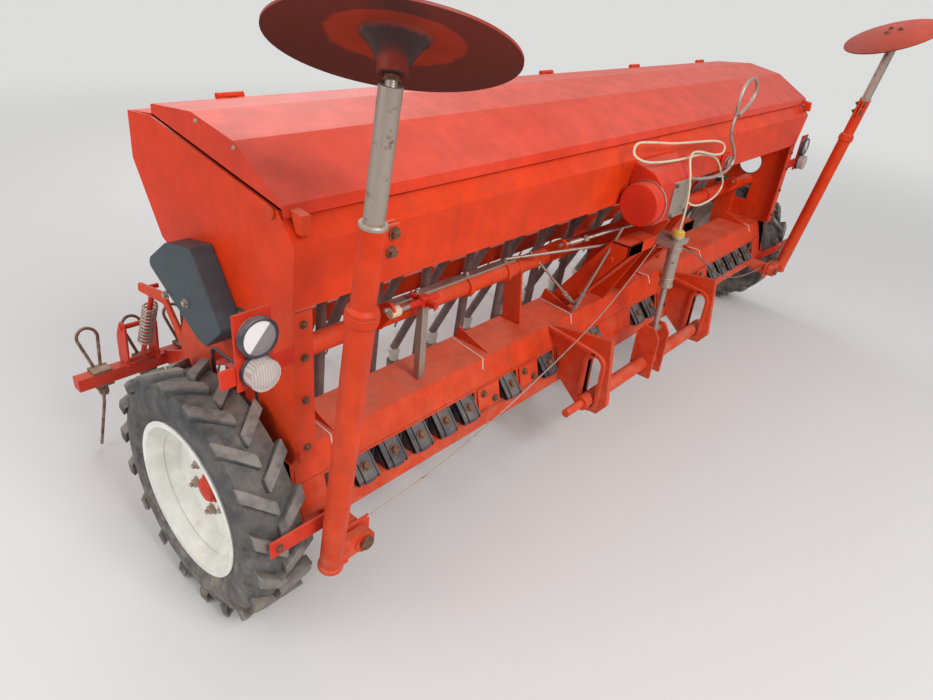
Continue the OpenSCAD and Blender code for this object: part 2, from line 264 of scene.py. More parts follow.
def make_paint():
    """Sprayed paint: bleached with a painted sunlit sheen on top, streaked by rain, chipped to rust at edges,
    dusty low down.
    """
    group, given = start_group(
        "field_paint",
        {"Paint": (0.62, 0.045, 0.01, 1.0), "Bleached": (0.7, 0.14, 0.1, 1.0), "Bleach": 0.3, "Sunned": 0.3,
         "Chips": 0.4, "Dust": 0.4, "Streaks": 0.3, "Gloss": 0.36})
    coords = new_node(group, "TexCoord")
    spot = coords.outputs["Object"]
    # Faces that look up are lightened towards the bleached colour: partly sun bleaching, partly a painted
    # sunlit sheen.
    up = spread(group, split(group, coords.outputs["Normal"])["Z"], 0.75, 0.99)
    cloud = spread(group, noise(group, spot, 1.9, 6.0), 0.34, 0.68)
    bleach_and_sheen = plus(group, times(group, cloud, given["Bleach"]), times(group, up, given["Sunned"]), True)
    colour = blend_colours(group, bleach_and_sheen, given["Paint"], given["Bleached"])
    # Rain streaks and grime
    run = spread(group, noise(group, stretched(group, spot, (26.0, 26.0, 1.6)), 1.0, 5.0, 0.6), 0.5, 0.78)
    run = times(group, run, given["Streaks"])
    colour = blend_colours(group, run, colour, (0.22, 0.05, 0.025, 1.0))
    mottle = spread(group, noise(group, spot, 13.0, 7.0, 0.6), 0.3, 0.75, 0.84, 1.06)
    tint = new_node(group, "HueSaturation")
    feed(group, tint.inputs["Value"], mottle)
    feed(group, tint.inputs["Color"], colour)
    colour = tint.outputs[0]
    # Scratches and chips down to the rust
    edge = use_group(group, WORN_EDGE)
    feed(group, edge.inputs["Amount"], given["Chips"])
    specks = spread(group, noise(group, spot, 46.0, 9.0, 0.72), 0.665, 0.72)
    specks = times(group, specks, given["Chips"])
    bare = plus(group, edge.outputs["Mask"], specks, True)
    rust = blend_colours(group, spread(group, noise(group, spot, 90.0), 0.35, 0.65),
                         (0.09, 0.028, 0.012, 1.0), (0.26, 0.11, 0.055, 1.0))
    colour = blend_colours(group, bare, colour, rust)
    thin = times(group, given["Dust"], 0.45)
    colour, dust = lay_dust(group, colour, given["Dust"], thin, (0.5, 0.37, 0.26, 1.0))
    rough = plus(group, plus(group, given["Gloss"], times(group, bare, 0.4)), times(group, dust, 0.35))
    rough = plus(group, rough, times(group, bleach_and_sheen, 0.12), True)
    peel = times(group, noise(group, spot, 160.0, 2.0), 0.25)
    return finish_group(group, Color=colour, Roughness=rough, Height=math_node(group, "SUBTRACT", peel, bare))


def make_steel():
    """Bare steel that has gone dull and rusts in patches."""
    group, given = start_group(
        "rusting_steel",
        {"Steel": (0.4, 0.37, 0.34, 1.0), "Rust": (0.2, 0.09, 0.045, 1.0), "Rusted": 0.4, "Dust": 0.3,
         "Grain": 40.0})
    spot = machine_place(group)
    patch = noise(group, spot, given["Grain"], 9.0, 0.7)
    level = math_node(group, "SUBTRACT", 0.78, times(group, given["Rusted"], 0.55))
    rusted = spread(group, patch, level, plus(group, level, 0.12))
    shade = blend_colours(group, spread(group, noise(group, spot, 130.0), 0.3, 0.7),
                          given["Rust"], (0.07, 0.03, 0.018, 1.0))
    colour = blend_colours(group, rusted, given["Steel"], shade)
    colour, dust = lay_dust(group, colour, given["Dust"], given["Dust"], (0.5, 0.39, 0.29, 1.0))
    covered = math_node(group, "MAXIMUM", rusted, dust)
    return finish_group(
        group, Color=colour, Roughness=spread(group, covered, 0.0, 1.0, 0.42, 0.85),
        Metallic=spread(group, covered, 0.0, 0.8, 0.75, 0.0), Height=times(group, patch, rusted))


def make_moulded():
    """Moulded rubber or plastic with a dusty, chalking surface."""
    group, given = start_group(
        "moulded", {"Base": (0.04, 0.04, 0.045, 1.0), "Chalk": (0.2, 0.19, 0.18, 1.0), "Chalking": 0.3,
                    "Dust": 0.4, "Grain": 30.0, "Gloss": 0.5})
    spot = machine_place(group)
    patch = spread(group, noise(group, spot, given["Grain"], 8.0, 0.68), 0.32, 0.72)
    worn = times(group, patch, given["Chalking"])
    colour = blend_colours(group, worn, given["Base"], given["Chalk"])
    colour, dust = lay_dust(group, colour, given["Dust"], given["Dust"], (0.44, 0.37, 0.29, 1.0))
    rough = plus(group, given["Gloss"], times(group, dust, 0.35))
    rough = plus(group, rough, times(group, worn, 0.2), True)
    return finish_group(group, Color=colour, Roughness=rough, Height=noise(group, spot, 220.0, 3.0))


def make_distance():
    """Distance from an axis on the right side; the left side, its mirror image, uses the same axis."""
    group, given = start_group("axis_distance", {"Centre": (0.0, 0.0, 0.0), "Axis": (1.0, 0.0, 0.0)})
    x, y, z = split(group, machine_place(group))
    mirrored = new_node(group, "CombineXYZ")
    for socket, value in zip(mirrored.inputs, (math_node(group, "ABSOLUTE", x), y, z)):
        feed(group, socket, value)
    away = vector_node(group, "SUBTRACT", mirrored.outputs[0], given["Centre"])
    across = vector_node(group, "CROSS_PRODUCT", away, given["Axis"])
    return finish_group(group, Radius=vector_node(group, "LENGTH", across))


WORN_EDGE = make_worn_edge()
DUST = make_dust()
PAINT = make_paint()
STEEL = make_steel()
MOULDED = make_moulded()
DISTANCE = make_distance()


# Materials

MATERIALS = {}
RELIEF_DEPTH = 0.001
WEATHERED_SHINE = 0.18


def start_material(name, group, bump=0.1, shine=None, **values):
    """A material on the Principled shader, fed by one shared finish. A low shine suits weathered paint."""
    material = bpy.data.materials.new(name)
    material.use_nodes = True
    tree = material.node_tree
    shader = tree.nodes["Principled BSDF"]
    finish = use_group(tree, group)
    for label, value in values.items():
        finish.inputs[label].default_value = (*value, 1.0) if isinstance(value, tuple) else value
    for label in ("Base Color", "Roughness", "Metallic"):
        output = finish.outputs.get(label.replace("Base ", ""))
        if output:
            tree.links.new(output, shader.inputs[label])
    relief = new_node(tree, "Bump")
    relief.inputs["Strength"].default_value = bump
    relief.inputs["Distance"].default_value = RELIEF_DEPTH
    tree.links.new(finish.outputs["Height"], relief.inputs["Height"])
    tree.links.new(relief.outputs[0], shader.inputs["Normal"])
    if shine is not None:
        shader.inputs["Specular IOR Level"].default_value = shine
    MATERIALS[name] = material
    return tree, shader


def recolour(tree, shader, factor, colour):
    """Lays a colour over what the shader's base colour already shows, where factor is high."""
    base = shader.inputs["Base Color"]
    tree.links.new(blend_colours(tree, factor, base.links[0].from_socket, (*colour, 1.0)), base)


def distance_to(tree, centre, axis):
    node = use_group(tree, DISTANCE)
    node.inputs["Centre"].default_value = centre
    node.inputs["Axis"].default_value = axis
    return node.outputs[0]


def make_disc_paint():
    """Marker disc: a faded red top lit by a painted sunlit sheen, and below it brown steel with a red ring
    left round the hub, all darkened by painted shade.
    """
    # The dark paint is the red in painted shade; the light colour on top is painted sunlight as well as
    # fading.
    tree, shader = start_material(
        "disc_paint", PAINT, shine=0.3, Paint=(0.3, 0.03, 0.012), Bleached=(0.62, 0.075, 0.04), Bleach=0.1,
        Sunned=0.9, Chips=0.5, Dust=0.12, Streaks=0.0, Gloss=0.45)
    radius = distance_to(tree, MARKER_HUB, DISC_TURN @ Z_AXIS)
    coords = new_node(tree, "TexCoord")
    # Underneath, painted shade over soil-worn steel: outside the red ring and on the plate inside it, the
    # dark colours of the shaded underside.
    under = spread(tree, split(tree, coords.outputs["Normal"])["Z"], 0.1, -0.3)
    edge = plus(tree, radius, times(tree, noise(tree, coords.outputs["Object"], 30.0, 6.0), 0.024))
    recolour(tree, shader, times(tree, under, spread(tree, edge, 0.112, 0.122)), (0.075, 0.02, 0.016))
    recolour(tree, shader, times(tree, under, spread(tree, edge, 0.07, 0.062)), (0.045, 0.016, 0.013))


def make_reflector():
    """Reflector in two halves, white and grey, split along a slanting line through its centre."""
    tree, shader = start_material(
        "reflector", MOULDED, Base=(0.22, 0.2, 0.21), Chalk=(0.3, 0.28, 0.28), Chalking=0.4, Dust=0.1,
        Grain=12.0, Gloss=0.25)
    centre_x, centre_z, steepness = 1.592, 0.901, 0.9
    spot = split(tree, machine_place(tree))
    across = math_node(tree, "SUBTRACT", math_node(tree, "ABSOLUTE", spot["X"]), centre_x)
    slant = plus(tree, across, times(tree, math_node(tree, "SUBTRACT", spot["Z"], centre_z), steepness))
    recolour(tree, shader, spread(tree, slant, -0.001, 0.001), (0.78, 0.77, 0.76))


def make_lens():
    """Clear lens with pressed ribs over a dull mirror."""
    tree, shader = start_material(
        "lens", MOULDED, bump=0.5, Base=(0.4, 0.34, 0.31), Chalk=(0.62, 0.58, 0.54), Chalking=0.5,
        Dust=0.15, Grain=12.0, Gloss=0.12)
    ribs = math_node(tree, "SINE", times(tree, split(tree, machine_place(tree))["X"], 1100.0))
    recolour(tree, shader, times(tree, spread(tree, ribs, 0.2, 1.0), 0.45), (0.75, 0.72, 0.68))


def make_tyre_rubber():
    """Dusty rubber, with the dust thickest on the tops of the lugs."""
    tree, shader = start_material(
        "tyre", MOULDED, bump=0.35, Base=(0.028, 0.028, 0.03), Chalk=(0.15, 0.145, 0.14), Chalking=0.75,
        Dust=0.55, Grain=16.0, Gloss=0.62)
    crown = spread(tree, distance_to(tree, (0.0, 0.0, WHEEL_R), X_AXIS), 0.318, 0.331, 0.0, 0.62)
    crown = times(tree, crown, spread(tree, noise(tree, machine_place(tree), 20.0, 7.0, 0.7), 0.3, 0.6))
    recolour(tree, shader, crown, (0.3, 0.27, 0.24))


def make_paints():
    """Sprayed finishes, each with its fresh colour, its bleached colour, which also holds a painted sunlit
    sheen, and how far it is worn.
    """
    # Each bleached colour, the lid's most of all, also stands for painted sunlight and a painted sky
    # reflection on faces that look up.
    for name, paint, bleached_and_lit, *wear in (
            ("hopper_paint", (0.7, 0.036, 0.002), (0.74, 0.075, 0.018), 0.3, 0.3, 0.35, 0.07, 0.2, 0.42),
            ("lid_paint", (0.66, 0.032, 0.005), (0.68, 0.11, 0.075), 0.2, 0.75, 0.22, 0.06, 0.12, 0.38),
            ("frame_paint", (0.68, 0.038, 0.003), (0.66, 0.11, 0.045), 0.4, 0.25, 0.8, 0.38, 0.35, 0.46),
            ("red_paint", (0.64, 0.02, 0.004), (0.62, 0.1, 0.055), 0.25, 0.3, 0.65, 0.3, 0.3, 0.42),
            ("rim_paint", (0.86, 0.86, 0.79), (0.76, 0.72, 0.6), 0.35, 0.0, 0.45, 0.16, 0.1, 0.36)):
        shine = None if name == "rim_paint" else WEATHERED_SHINE
        start_material(name, PAINT, shine=shine, Paint=paint, Bleached=bleached_and_lit, **dict(
            zip(("Bleach", "Sunned", "Chips", "Dust", "Streaks", "Gloss"), wear)))


def make_plastics():
    """Moulded finishes, each with its own colour, its chalky colour and how far it is worn."""
    for name, base, chalk, *wear in (
            ("feed_grey", (0.1, 0.075, 0.07), (0.24, 0.19, 0.17), 0.5, 0.5, 20.0, 0.55),
            ("tube_plastic", (0.13, 0.07, 0.062), (0.28, 0.2, 0.18), 0.6, 0.45, 14.0, 0.5),
            ("white_plastic", (0.7, 0.67, 0.6), (0.5, 0.45, 0.38), 0.6, 0.3, 18.0, 0.45),
            ("cover_plastic", (0.016, 0.026, 0.032), (0.05, 0.075, 0.09), 0.7, 0.08, 9.0, 0.42),
            ("block_rubber", (0.022, 0.022, 0.032), (0.09, 0.085, 0.1), 0.6, 0.4, 26.0, 0.4),
            ("yellow_plastic", (0.62, 0.4, 0.03), (0.5, 0.42, 0.2), 0.5, 0.3, 60.0, 0.4),
            ("cream_plastic", (0.66, 0.55, 0.38), (0.45, 0.36, 0.26), 0.5, 0.25, 30.0, 0.4)):
        start_material(name, MOULDED, Base=base, Chalk=chalk, **dict(
            zip(("Chalking", "Dust", "Grain", "Gloss"), wear)))


make_paints()
make_disc_paint()
make_plastics()
make_lens()
make_reflector()
start_material("arm_steel", STEEL, bump=0.3, Steel=(0.16, 0.14, 0.13), Rusted=0.6, Dust=0.5)
start_material("worn_steel", STEEL, bump=0.3, Steel=(0.26, 0.2, 0.16), Rusted=0.75, Dust=0.6)
start_material("rusty_bolts", STEEL, bump=0.4, Steel=(0.3, 0.2, 0.14), Rust=(0.22, 0.085, 0.035), Rusted=0.9,
               Dust=0.2, Grain=120.0)
start_material("bare_steel", STEEL, bump=0.25, Steel=(0.4, 0.33, 0.28), Rusted=0.4, Dust=0.35)
make_tyre_rubber()


def dress_nodes():
    """Gives every solid of the machine the finish that its record names."""
    for part in frame["record"]["subparts"]:
        solid = frame["nodes"][part["node"]]
        solid.data.materials.clear()
        solid.data.materials.append(MATERIALS[part["material_slot"]])


dress_nodes()


# Helpers for small parts


def place(*point):
    """A point given in millimetres, as the solids' sizes are."""
    return Vector(point) * 0.001


def round_from(u, v, degrees):
    """Direction at an angle, turned from u towards v."""
    angle = math.radians(degrees)
    return u * math.cos(angle) + v * math.sin(angle)


def add_bar(shape, start, end, radius, sides=20, end_radius=None):
    """A round bar from start to end."""
    run = end - start
    turn = run.to_track_quat("Z", "Y").to_matrix().to_4x4()
    bmesh.ops.create_cone(
        shape, cap_ends=True, segments=sides, radius1=radius, depth=run.length,
        radius2=radius if end_radius is None else end_radius,
        matrix=Matrix.Translation((start + end) / 2) @ turn)


def add_pin(shape, left, right, y, z, radius, sides=20, end_radius=None):
    """A round bar across the machine; its places are in millimetres, its radius in metres."""
    add_bar(shape, place(left, y, z), place(right, y, z), radius, sides, end_radius)


def add_block(shape, centre, size, turn=Matrix()):
    """A block, turned about its centre."""
    stretch = Matrix.Diagonal((*size, 1.0))
    bmesh.ops.create_cube(shape, size=1.0, matrix=Matrix.Translation(centre) @ turn @ stretch)


def add_bolt(shape, at, axis, width, nut=False):
    """A hexagon head on its washer; a nut shows the bolt's end as well."""
    axis = axis.normalized()
    add_bar(shape, at - axis * 0.0005, at + axis * 0.002, width * 0.78, 24)
    top = at + axis * (0.002 + width * 0.5)
    add_bar(shape, at + axis * 0.0015, top, width * 0.577, 6)
    add_bar(shape, top - axis * 0.0005, top + axis * 0.0012, width * 0.46, 20, width * 0.36)
    if nut:
        add_bar(shape, top, top + axis * width * 0.4, width * 0.3, 16)


def move_across(shape, grown, distance):
    moved = [item for item in grown["geom"] if isinstance(item, bmesh.types.BMVert)]
    bmesh.ops.translate(shape, verts=moved, vec=place(distance, 0, 0))


def add_profile(shape, outline, left, right, corner=0.0):
    """A plate drawn from the side in Y and Z, thickened along X. Millimetres throughout."""
    plate = bmesh.new()
    corners = [plate.verts.new(place(left, y, z)) for y, z in outline]
    plate.faces.new(corners)
    if corner:
        bmesh.ops.bevel(plate, geom=corners, offset=corner * 0.001, offset_type="OFFSET", segments=5,
                        profile=0.5, affect="VERTICES", material=-1)
    move_across(plate, bmesh.ops.extrude_face_region(plate, geom=plate.faces[:]), right - left)
    join_shape(shape, plate)


def add_band(shape, path, left, right, thickness):
    """A flat bar bent round a closed path of Y and Z. Millimetres throughout."""
    band = bmesh.new()
    knots = [band.verts.new(place(left, y, z)) for y, z in path]
    edges = [band.edges.new((a, b)) for a, b in zip(knots, knots[1:] + knots[:1])]
    move_across(band, bmesh.ops.extrude_edge_only(band, edges=edges), right - left)
    bmesh.ops.recalc_face_normals(band, faces=band.faces)
    bmesh.ops.solidify(band, geom=band.faces[:], thickness=thickness * 0.001)
    join_shape(shape, band)


def add_turned(shape, outline, matrix=Matrix(), steps=48):
    """A turned part: an outline of radius and height in millimetres, spun round Z."""
    turned = bmesh.new()
    knots = [turned.verts.new(place(radius, 0, height)) for radius, height in outline]
    edges = [turned.edges.new(pair) for pair in zip(knots, knots[1:])]
    bmesh.ops.spin(turned, geom=knots + edges, cent=(0, 0, 0), axis=Z_AXIS, angle=2 * math.pi,
                   steps=steps, use_merge=True)
    bmesh.ops.remove_doubles(turned, verts=turned.verts, dist=1e-6)
    turned.transform(matrix)
    join_shape(shape, turned)


def new_shapes(count):
    return [bmesh.new() for _ in range(count)]


def join_shape(shape, other):
    """Adds a finished shape to another one."""
    mesh = bpy.data.meshes.new("joined")
    other.to_mesh(mesh)
    other.free()
    shape.from_mesh(mesh)
    bpy.data.meshes.remove(mesh)


def facing(x, y, z):
    """Places a turned part so that its axis points to the front."""
    return Matrix.Translation(place(x, y, z)) @ Matrix.Rotation(math.radians(90), 4, "X")


def facing_out(side, x, y, z):
    """Places a turned part so that its axis points to the left, side -1, or to the right, side 1."""
    return Matrix.Translation(place(x, y, z)) @ Matrix.Rotation(math.radians(90 * side), 4, "Y")


def add_piece(name, data, finish, body):
    """Puts a mesh or curve into the scene as a piece that rides on a body."""
    data.materials.append(MATERIALS[finish])
    piece = show(name, data)
    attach(piece, body)
    return piece


def finish_piece(name, shape, finish, body="chassis", bevel=0.0):
    """Turns a built shape into a piece, with its edges rounded by the bevel's width in metres."""
    bmesh.ops.recalc_face_normals(shape, faces=shape.faces)
    mesh = bpy.data.meshes.new(name)
    shape.to_mesh(mesh)
    shape.free()
    mesh.shade_smooth()
    mesh.set_sharp_from_angle(angle=SHARP_EDGE)
    piece = add_piece(name, mesh, finish, body)
    if bevel:
        edge = piece.modifiers.new("edges", "BEVEL")
        edge.width = bevel
        edge.segments = 2
        edge.limit_method = "ANGLE"
        edge.harden_normals = True
    return piece


def smooth_route(route, steps):
    """Points of a smooth curve through a route."""
    last = len(route) - 1
    points = []
    for i in range(last):
        a, b, c, d = route[max(i - 1, 0)], route[i], route[i + 1], route[min(i + 2, last)]
        for k in range(steps):
            t = k / steps
            points.append(0.5 * (2 * b + (c - a) * t + (2 * a - 5 * b + 4 * c - d) * t * t
                                 + (3 * b - a - 3 * c + d) * t * t * t))
    return points + [route[last]]


def make_wire(name, paths, radius, finish, body="chassis", sides=4, closed=False):
    """Round wires along lists of points."""
    data = bpy.data.curves.new(name, "CURVE")
    data.dimensions = "3D"
    data.bevel_depth = radius
    data.bevel_resolution = sides
    data.use_fill_caps = not closed
    for path in paths:
        line = data.splines.new("POLY")
        line.points.add(len(path) - 1)
        for knot, point in zip(line.points, path):
            knot.co = (*point, 1.0)
        line.use_cyclic_u = closed
        line.use_smooth = True
    return add_piece(name, data, finish, body)


def arc(centre, u, v, radius, start, stop, steps):
    """Points of an arc in the plane of u and v, angles in degrees."""
    return [centre + round_from(u, v, start + (stop - start) * k / steps) * radius for k in range(steps + 1)]


def helix(start, end, radius, turns, steps=14):
    """Points of a coil round the line from start to end."""
    run = end - start
    u = run.orthogonal().normalized()
    v = run.cross(u).normalized()
    return [start + run * (k / (turns * steps)) + round_from(u, v, 360 * k / steps) * radius
            for k in range(turns * steps + 1)]


def millimetres(*points):
    return [place(*point) for point in points]


# Cords


HOSE = millimetres(
    (0, -400, 799), (0, -400, 812), (0, -400, 826), (-2, -404, 880), (-4, -402, 950), (-8, -394, 1010),
    (10, -372, 1056), (66, -352, 1070), (150, -343, 1062), (280, -340, 1036), (372, -336, 1030),
    (392, -326, 1056), (330, -316, 1074), (170, -308, 1086), (10, -304, 1098), (-150, -302, 1118),
    (-252, -304, 1126), (-286, -318, 1100), (-246, -338, 1078), (-130, -340, 1062), (20, -342, 1054),
    (200, -330, 1044), (360, -320, 1008), (440, -322, 950), (490, -324, 890), (440, -326, 850),
    (350, -324, 836), (280, -316, 838), (236, -304, 858), (221, -290, 888), (218, -274, 912),
    (218, -262, 922))
CABLE = millimetres(
    (67, -272, 700), (82, -275, 700), (100, -280, 699), (250, -310, 672), (410, -322, 610),
    (560, -328, 530), (700, -332, 454), (850, -334, 396), (1000, -334, 356), (1150, -332, 332),
    (1250, -330, 322), (1320, -330, 318), (1352, -330, 318), (1375, -330, 320))


def make_cord(name, route, radius, finish):
    """A free hose or cable, held at both ends by the machine."""
    points = smooth_route(route, 4)
    piece = make_wire(name, [points], radius, finish)


make_cord("feed_hose", HOSE, 0.004, "cream_plastic")
make_cord("slack_cable", CABLE, 0.003, "feed_grey")


# Small parts


def make_wheel_fittings(side, hand):
    """Hub cap, five nuts round it, the valve, and a ring of weld inside the rim."""
    out, body = X_AXIS * side, f"wheel_{hand}"
    centre = Vector((side * WHEEL_X, 0.0, WHEEL_R))
    cap, nuts, valve = new_shapes(3)
    add_turned(cap, [(0, -2), (40, -2), (40, 2), (34, 4), (34, 12), (29, 18), (12, 21), (0, 21.5)],
               facing_out(side, *(centre * 1000)))
    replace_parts(finish_piece(f"{body}_cap", cap, "red_paint", body), f"hub_cap_{hand}")
    for k in range(5):
        add_bolt(nuts, centre + round_from(Y_AXIS, Z_AXIS, 54 + 72 * k) * 0.07, out, 0.022, nut=True)
    finish_piece(f"{body}_nuts", nuts, "bare_steel", body)
    spoke = round_from(Y_AXIS, Z_AXIS, 118 if side < 0 else 62)
    foot = centre + spoke * 0.186 + out * 0.024
    stem = out * 0.036 - spoke * 0.008
    add_bar(valve, foot, foot + stem, 0.0055, 16, 0.0045)
    add_bar(valve, foot + stem * 0.65, foot + stem * 1.05, 0.0062, 12)
    finish_piece(f"{body}_valve", valve, "bare_steel", body)
    weld = arc(centre + out * 0.0335, Y_AXIS, Z_AXIS, 0.1765, 0, 355, 71)
    make_wire(f"{body}_weld", [weld], 0.0022, "rim_paint", body, 2, closed=True)


def open_rows():
    """Rows whose block shows whole in a window of the front skirt."""
    half_block = 20
    return [i for i in range(ROWS)
            if any(low + half_block <= abs(row_x(i)) * 1000 <= high - half_block for low, high in WINDOWS)]


def make_blocks():
    """Rubber blocks that bulge through the skirt, each with a pad, two ribs and a rusty bolt."""
    normal = Vector((0.0, -0.7533, 0.6577))
    rib = [(-213, 414), (-223, 421), (-274, 364), (-273, 352), (-262, 352)]
    blocks, bolts = new_shapes(2)
    for i in open_rows():
        x = row_x(i) * 1000
        add_profile(blocks, [(-213, 352), (-213, 412), (-222, 417), (-270, 362), (-268, 352)], x - 36, x + 36)
        add_profile(blocks, [(-213, 414), (-226, 421), (-276, 366), (-276, 353), (-262, 352)], x - 18, x + 18)
        for edge in (-33, 33):
            add_profile(blocks, rib, x + edge - 3, x + edge + 3)
        add_bolt(bolts, place(x, -251, 393.5), normal, 0.019)
    finish_piece("coulter_pads", blocks, "block_rubber", bevel=0.002)
    finish_piece("block_bolts", bolts, "rusty_bolts")


def make_skirt_pads():
    """Bolted plates on the front skirt between its windows."""
    slope = (place(0, -244, 348) - place(0, -226, 426)).normalized()
    normal = Vector((0.0, slope.z, -slope.y))
    turn = Matrix((X_AXIS, slope, normal)).transposed().to_4x4()
    plates, bolts = new_shapes(2)
    for side in (-1, 1):
        for x, width in ((773, 0.1), (566, 0.096), (374, 0.07)):
            centre = place(side * x, -237, 387) + normal * 0.0055
            add_block(plates, centre, (width, 0.07, 0.005), turn)
            for across in (-0.5, 0.5):
                spot = centre + X_AXIS * across * width * 0.5 + slope * across * 0.034 + normal * 0.0025
                add_bolt(bolts, spot, normal, 0.016)
    finish_piece("skirt_pads", plates, "frame_paint", bevel=0.0012)
    finish_piece("skirt_bolts", bolts, "rusty_bolts")


def on_marker(side, spot, turn):
    """Places what is built for the right marker, or its mirror image on the left one."""
    return Matrix.Diagonal((side, 1, 1, 1)) @ Matrix.Translation(spot) @ turn


def make_arm_fittings(side, body):
    """Collars, clamp, bolts and foot of a marker arm, and the ring round its telescopic tube."""
    clamp, bolts, ring = new_shapes(3)
    for collar in ([(28, 708), (33, 709), (33, 727), (24, 729)], [(24, 728), (31, 728), (31, 734), (24, 742)],
                   [(0, -5), (29, -5), (31, -3), (31, 9), (28, 11)]):
        add_turned(clamp, collar)
    for y in (-6, 6):
        add_block(clamp, place(-38, y, 864), (0.034, 0.007, 0.066))
    for height in (846, 882):
        add_bolt(bolts, place(-40, -10, height), -Y_AXIS, 0.015)
        add_bolt(bolts, place(-40, 10, height), Y_AXIS, 0.015, nut=True)
    add_turned(ring, [(19, 898), (25.5, 898), (25.5, 903), (22, 906), (19, 906)])
    for shape in (clamp, bolts, ring):
        shape.transform(on_marker(side, ARM_FOOT, ARM_TURN))
    # Face plate and rod below the pivot
    x = side * 1400
    low, high = PIVOT_Z - 38, PIVOT_Z + 38
    add_profile(clamp, [(-351, low), (-351, high), (-343, high), (-343, low)], x - 42, x + 42)
    add_pin(clamp, side * 1470, side * 1500, -392, PIVOT_Z, 0.013)
    finish_piece(f"{body}_clamp", clamp, "frame_paint", body, bevel=0.001)
    finish_piece(f"{body}_bolts", bolts, "rusty_bolts", body)
    finish_piece(f"{body}_ring", ring, "bare_steel", body)


def make_disc(side, hand):
    """Dished marker disc on its hub, with three bolts and the end of its spindle."""
    hub, body, radius = on_marker(side, MARKER_HUB, DISC_TURN), f"disc_{hand}", 190
    disc, bolts = new_shapes(2)
    under = [(r, 43 + 24 * (1 - (r / radius) ** 2)) for r in (56, 75, 95, 115, 135, 155, 175, radius)]
    top = [(r, z + 4) for r, z in reversed(under)]
    add_turned(disc, [(0, 9), (22, 9), (24, 11), (24, 24), (31, 36), (42, 52), (54, 62)] + under + top
               + [(36, 70), (0, 71)], hub, 80)
    piece = finish_piece(f"{body}_dish", disc, "disc_paint", body)
    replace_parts(piece, f"marker_disc_{hand}")
    for k in range(3):
        add_bolt(bolts, round_from(X_AXIS, Y_AXIS, 30 + 120 * k) * 0.03 + place(0, 0, 69.5), Z_AXIS, 0.014)
    add_turned(bolts, [(0, 9.5), (11, 9.5), (11, 4), (13.5, 3), (13.5, 0.5), (0, 0.5)])
    bolts.transform(hub)
    finish_piece(f"{body}_bolts", bolts, "rusty_bolts", body)


def make_tines():
    """Double spring tines with real coils, each on its clamp."""
    tines, pitch, coil_steps = 24, 0.137, 14
    clamps, paths = bmesh.new(), []
    for i in range(tines):
        at = HARROW_BAR + X_AXIS * ((i - (tines - 1) / 2) * pitch)
        add_block(clamps, at + place(0, 24, 0), (0.056, 0.008, 0.056))
        for z in (24, -24):
            add_block(clamps, at + place(0, 0, z), (0.056, 0.04, 0.008))
        add_bolt(clamps, at + place(0, 28, 0), Y_AXIS, 0.014, nut=True)
        # One wire: up the hairpin and back, then through the coil and down
        lean = place(0, 44, 118).normalized()
        top = at + place(0, 66, 140) - lean * 0.03
        paths.append([at + place(-9, 20, 22)] + arc(top, -X_AXIS, lean, 0.03, -22, 202, 16)
                     + [at + place(9, 20, 22)])
        coil = at + place(0, 10, -50)
        paths.append([at + place(-11, 22, -26)]
                     + [coil + X_AXIS * 0.0075 * (k / 21 - 1)
                        + round_from(Y_AXIS, Z_AXIS, 90 - 360 * k / coil_steps) * 0.0185
                        for k in range(3 * coil_steps + 1)]
                     + [at + place(7, 27, -60), at + place(4, 34, -116), at + place(0, 128, -335)])
    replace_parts(make_wire("spring_tines", paths, 0.005, "worn_steel", "harrow", 3), "harrow_tines")
    finish_piece("tine_clamps", clamps, "worn_steel", "harrow", bevel=0.0015)


def make_harrow_struts():
    """Bracket with a spring strut near each end of the harrow, and the arm that it slides on."""
    for side, hand in SIDES:
        strut, arm = new_shapes(2)
        x = side * 1455
        for cheek in (1406, 1500):
            add_profile(strut, [(613, 369), (675, 369), (665, 470), (625, 535), (593, 520)],
                        side * cheek, side * (cheek + 7), 14)
        for y, z in ((622, 392), (619, 512)):
            add_pin(strut, side * 1400, side * 1512, y, z, 0.008)
        add_bar(strut, place(x, 622, 392), place(x, 474, 690), 0.008)
        add_pin(strut, side * 1440, side * 1478, 474, 690, 0.007)
        finish_piece(f"strut_{hand}", strut, "red_paint", "harrow", bevel=0.0012)
        spring = helix(place(x, 586, 464), place(x, 510, 617), 0.019, 11)
        make_wire(f"strut_spring_{hand}", [spring], 0.0035, "bare_steel", "harrow", 3)
        add_profile(arm, [(200, 600), (250, 640), (330, 735), (478, 712), (484, 684), (336, 700), (260, 590)],
                    side * 1486, side * 1494, 10)
        finish_piece(f"strut_arm_{hand}", arm, "frame_paint", bevel=0.001)


def make_hitch():
    """Loops of flat bar round the slots, with the gussets that carry them."""
    shape, path, loop_r = bmesh.new(), [], 28
    for slot_end, start in ((300, 180), (440, 0)):
        for k in range(13):
            angle = math.radians(start + 15 * k)
            path.append((HITCH_Y + loop_r * math.cos(angle), slot_end + loop_r * math.sin(angle)))
    for x in (-400, 400):
        add_band(shape, path, x - 25, x + 25, -13)
        add_profile(shape, [(-200, BEAM_TOP), (-202, 490), (-400, 470), (-400, 483)], x - 25, x + 25)
    finish_piece("hitch_loops", shape, "frame_paint", bevel=0.0015)


